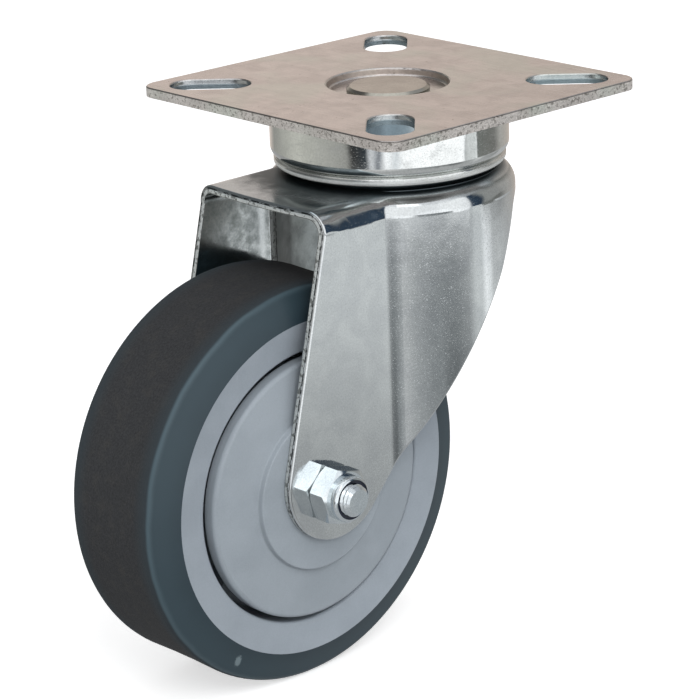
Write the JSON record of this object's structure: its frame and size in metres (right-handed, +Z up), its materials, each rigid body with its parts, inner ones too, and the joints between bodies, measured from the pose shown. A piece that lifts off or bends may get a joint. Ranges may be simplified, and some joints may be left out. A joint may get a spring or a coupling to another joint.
{
  "type": "swivel plate castor",
  "caption": "Swivel castor: a slotted top plate and ball-raced head over a pressed steel fork that carries a rubber-tyred wheel on ball bearings.",
  "frame": {"origin": "middle of the plate's top face, on the swivel axis", "axes": "+Z up out of the plate's top face; the wheel trails towards -X at rest; +Y along the axle, towards the bolt head"},
  "size_m": [0.1365, 0.09, 0.1394],
  "materials": {
    "plate_zinc": "zinc plated sheet, warm satin",
    "cup_zinc": "bright zinc plated drawing",
    "fork_zinc": "zinc plated pressed sheet, satin",
    "fastener_zinc": "bright blue-white zinc",
    "bearing_steel": "ground and polished",
    "nylon": "dark blue nylon",
    "rim_plastic": "light blue-grey moulded polypropylene",
    "guard_plastic": "light blue-grey moulded polypropylene",
    "tyre_rubber": "grey thermoplastic rubber"
  },
  "bodies": {
    "swivel_mount": {"top_plate": "plate_zinc", "raceway_cup": "cup_zinc", "kingpin": "plate_zinc", "lower_race": "bearing_steel"},
    "fork": {"fork": "fork_zinc", "axle_bolt": "fastener_zinc", "lock_nut": "fastener_zinc", "nut_insert": "nylon", "spacer_sleeve": "bearing_steel", "bearing_inner_left": "bearing_steel", "bearing_inner_right": "bearing_steel", "thread_guard_left": "guard_plastic", "thread_guard_right": "guard_plastic"},
    "wheel": {"wheel_rim": "rim_plastic", "tyre": "tyre_rubber", "bearing_outer_left": "bearing_steel", "bearing_outer_right": "bearing_steel", "bearing_shields_left": "bearing_steel", "bearing_shields_right": "bearing_steel"},
    "upper_ball_row": {"upper_balls": "bearing_steel"},
    "lower_ball_row": {"lower_balls": "bearing_steel"},
    "wheel_ball_sets": {"bearing_balls_left": "bearing_steel", "bearing_balls_right": "bearing_steel", "bearing_cage_left": "bearing_steel", "bearing_cage_right": "bearing_steel"}
  },
  "joints": [
    {"name": "swivel", "type": "hinge", "parent": "swivel_mount", "child": "fork", "pos_m": [0, 0, 0], "axis": [0, 0, 1], "continuous": true},
    {"name": "wheel_spin", "type": "hinge", "parent": "fork", "child": "wheel", "pos_m": [-0.044, 0, -0.0894], "axis": [0, 1, 0], "continuous": true},
    {"name": "upper_row_roll", "type": "hinge", "parent": "swivel_mount", "child": "upper_ball_row", "pos_m": [0, 0, 0], "axis": [0, 0, 1], "continuous": true},
    {"name": "lower_row_roll", "type": "hinge", "parent": "swivel_mount", "child": "lower_ball_row", "pos_m": [0, 0, 0], "axis": [0, 0, 1], "continuous": true},
    {"name": "wheel_balls_roll", "type": "hinge", "parent": "fork", "child": "wheel_ball_sets", "pos_m": [-0.044, 0, -0.0894], "axis": [0, 1, 0], "continuous": true}
  ],
  "couplings": [
    {"joint": "upper_row_roll", "follows": "swivel", "ratio": 0.5},
    {"joint": "lower_row_roll", "follows": "swivel", "ratio": 0.5},
    {"joint": "wheel_balls_roll", "follows": "wheel_spin", "ratio": 0.632}
  ]
}
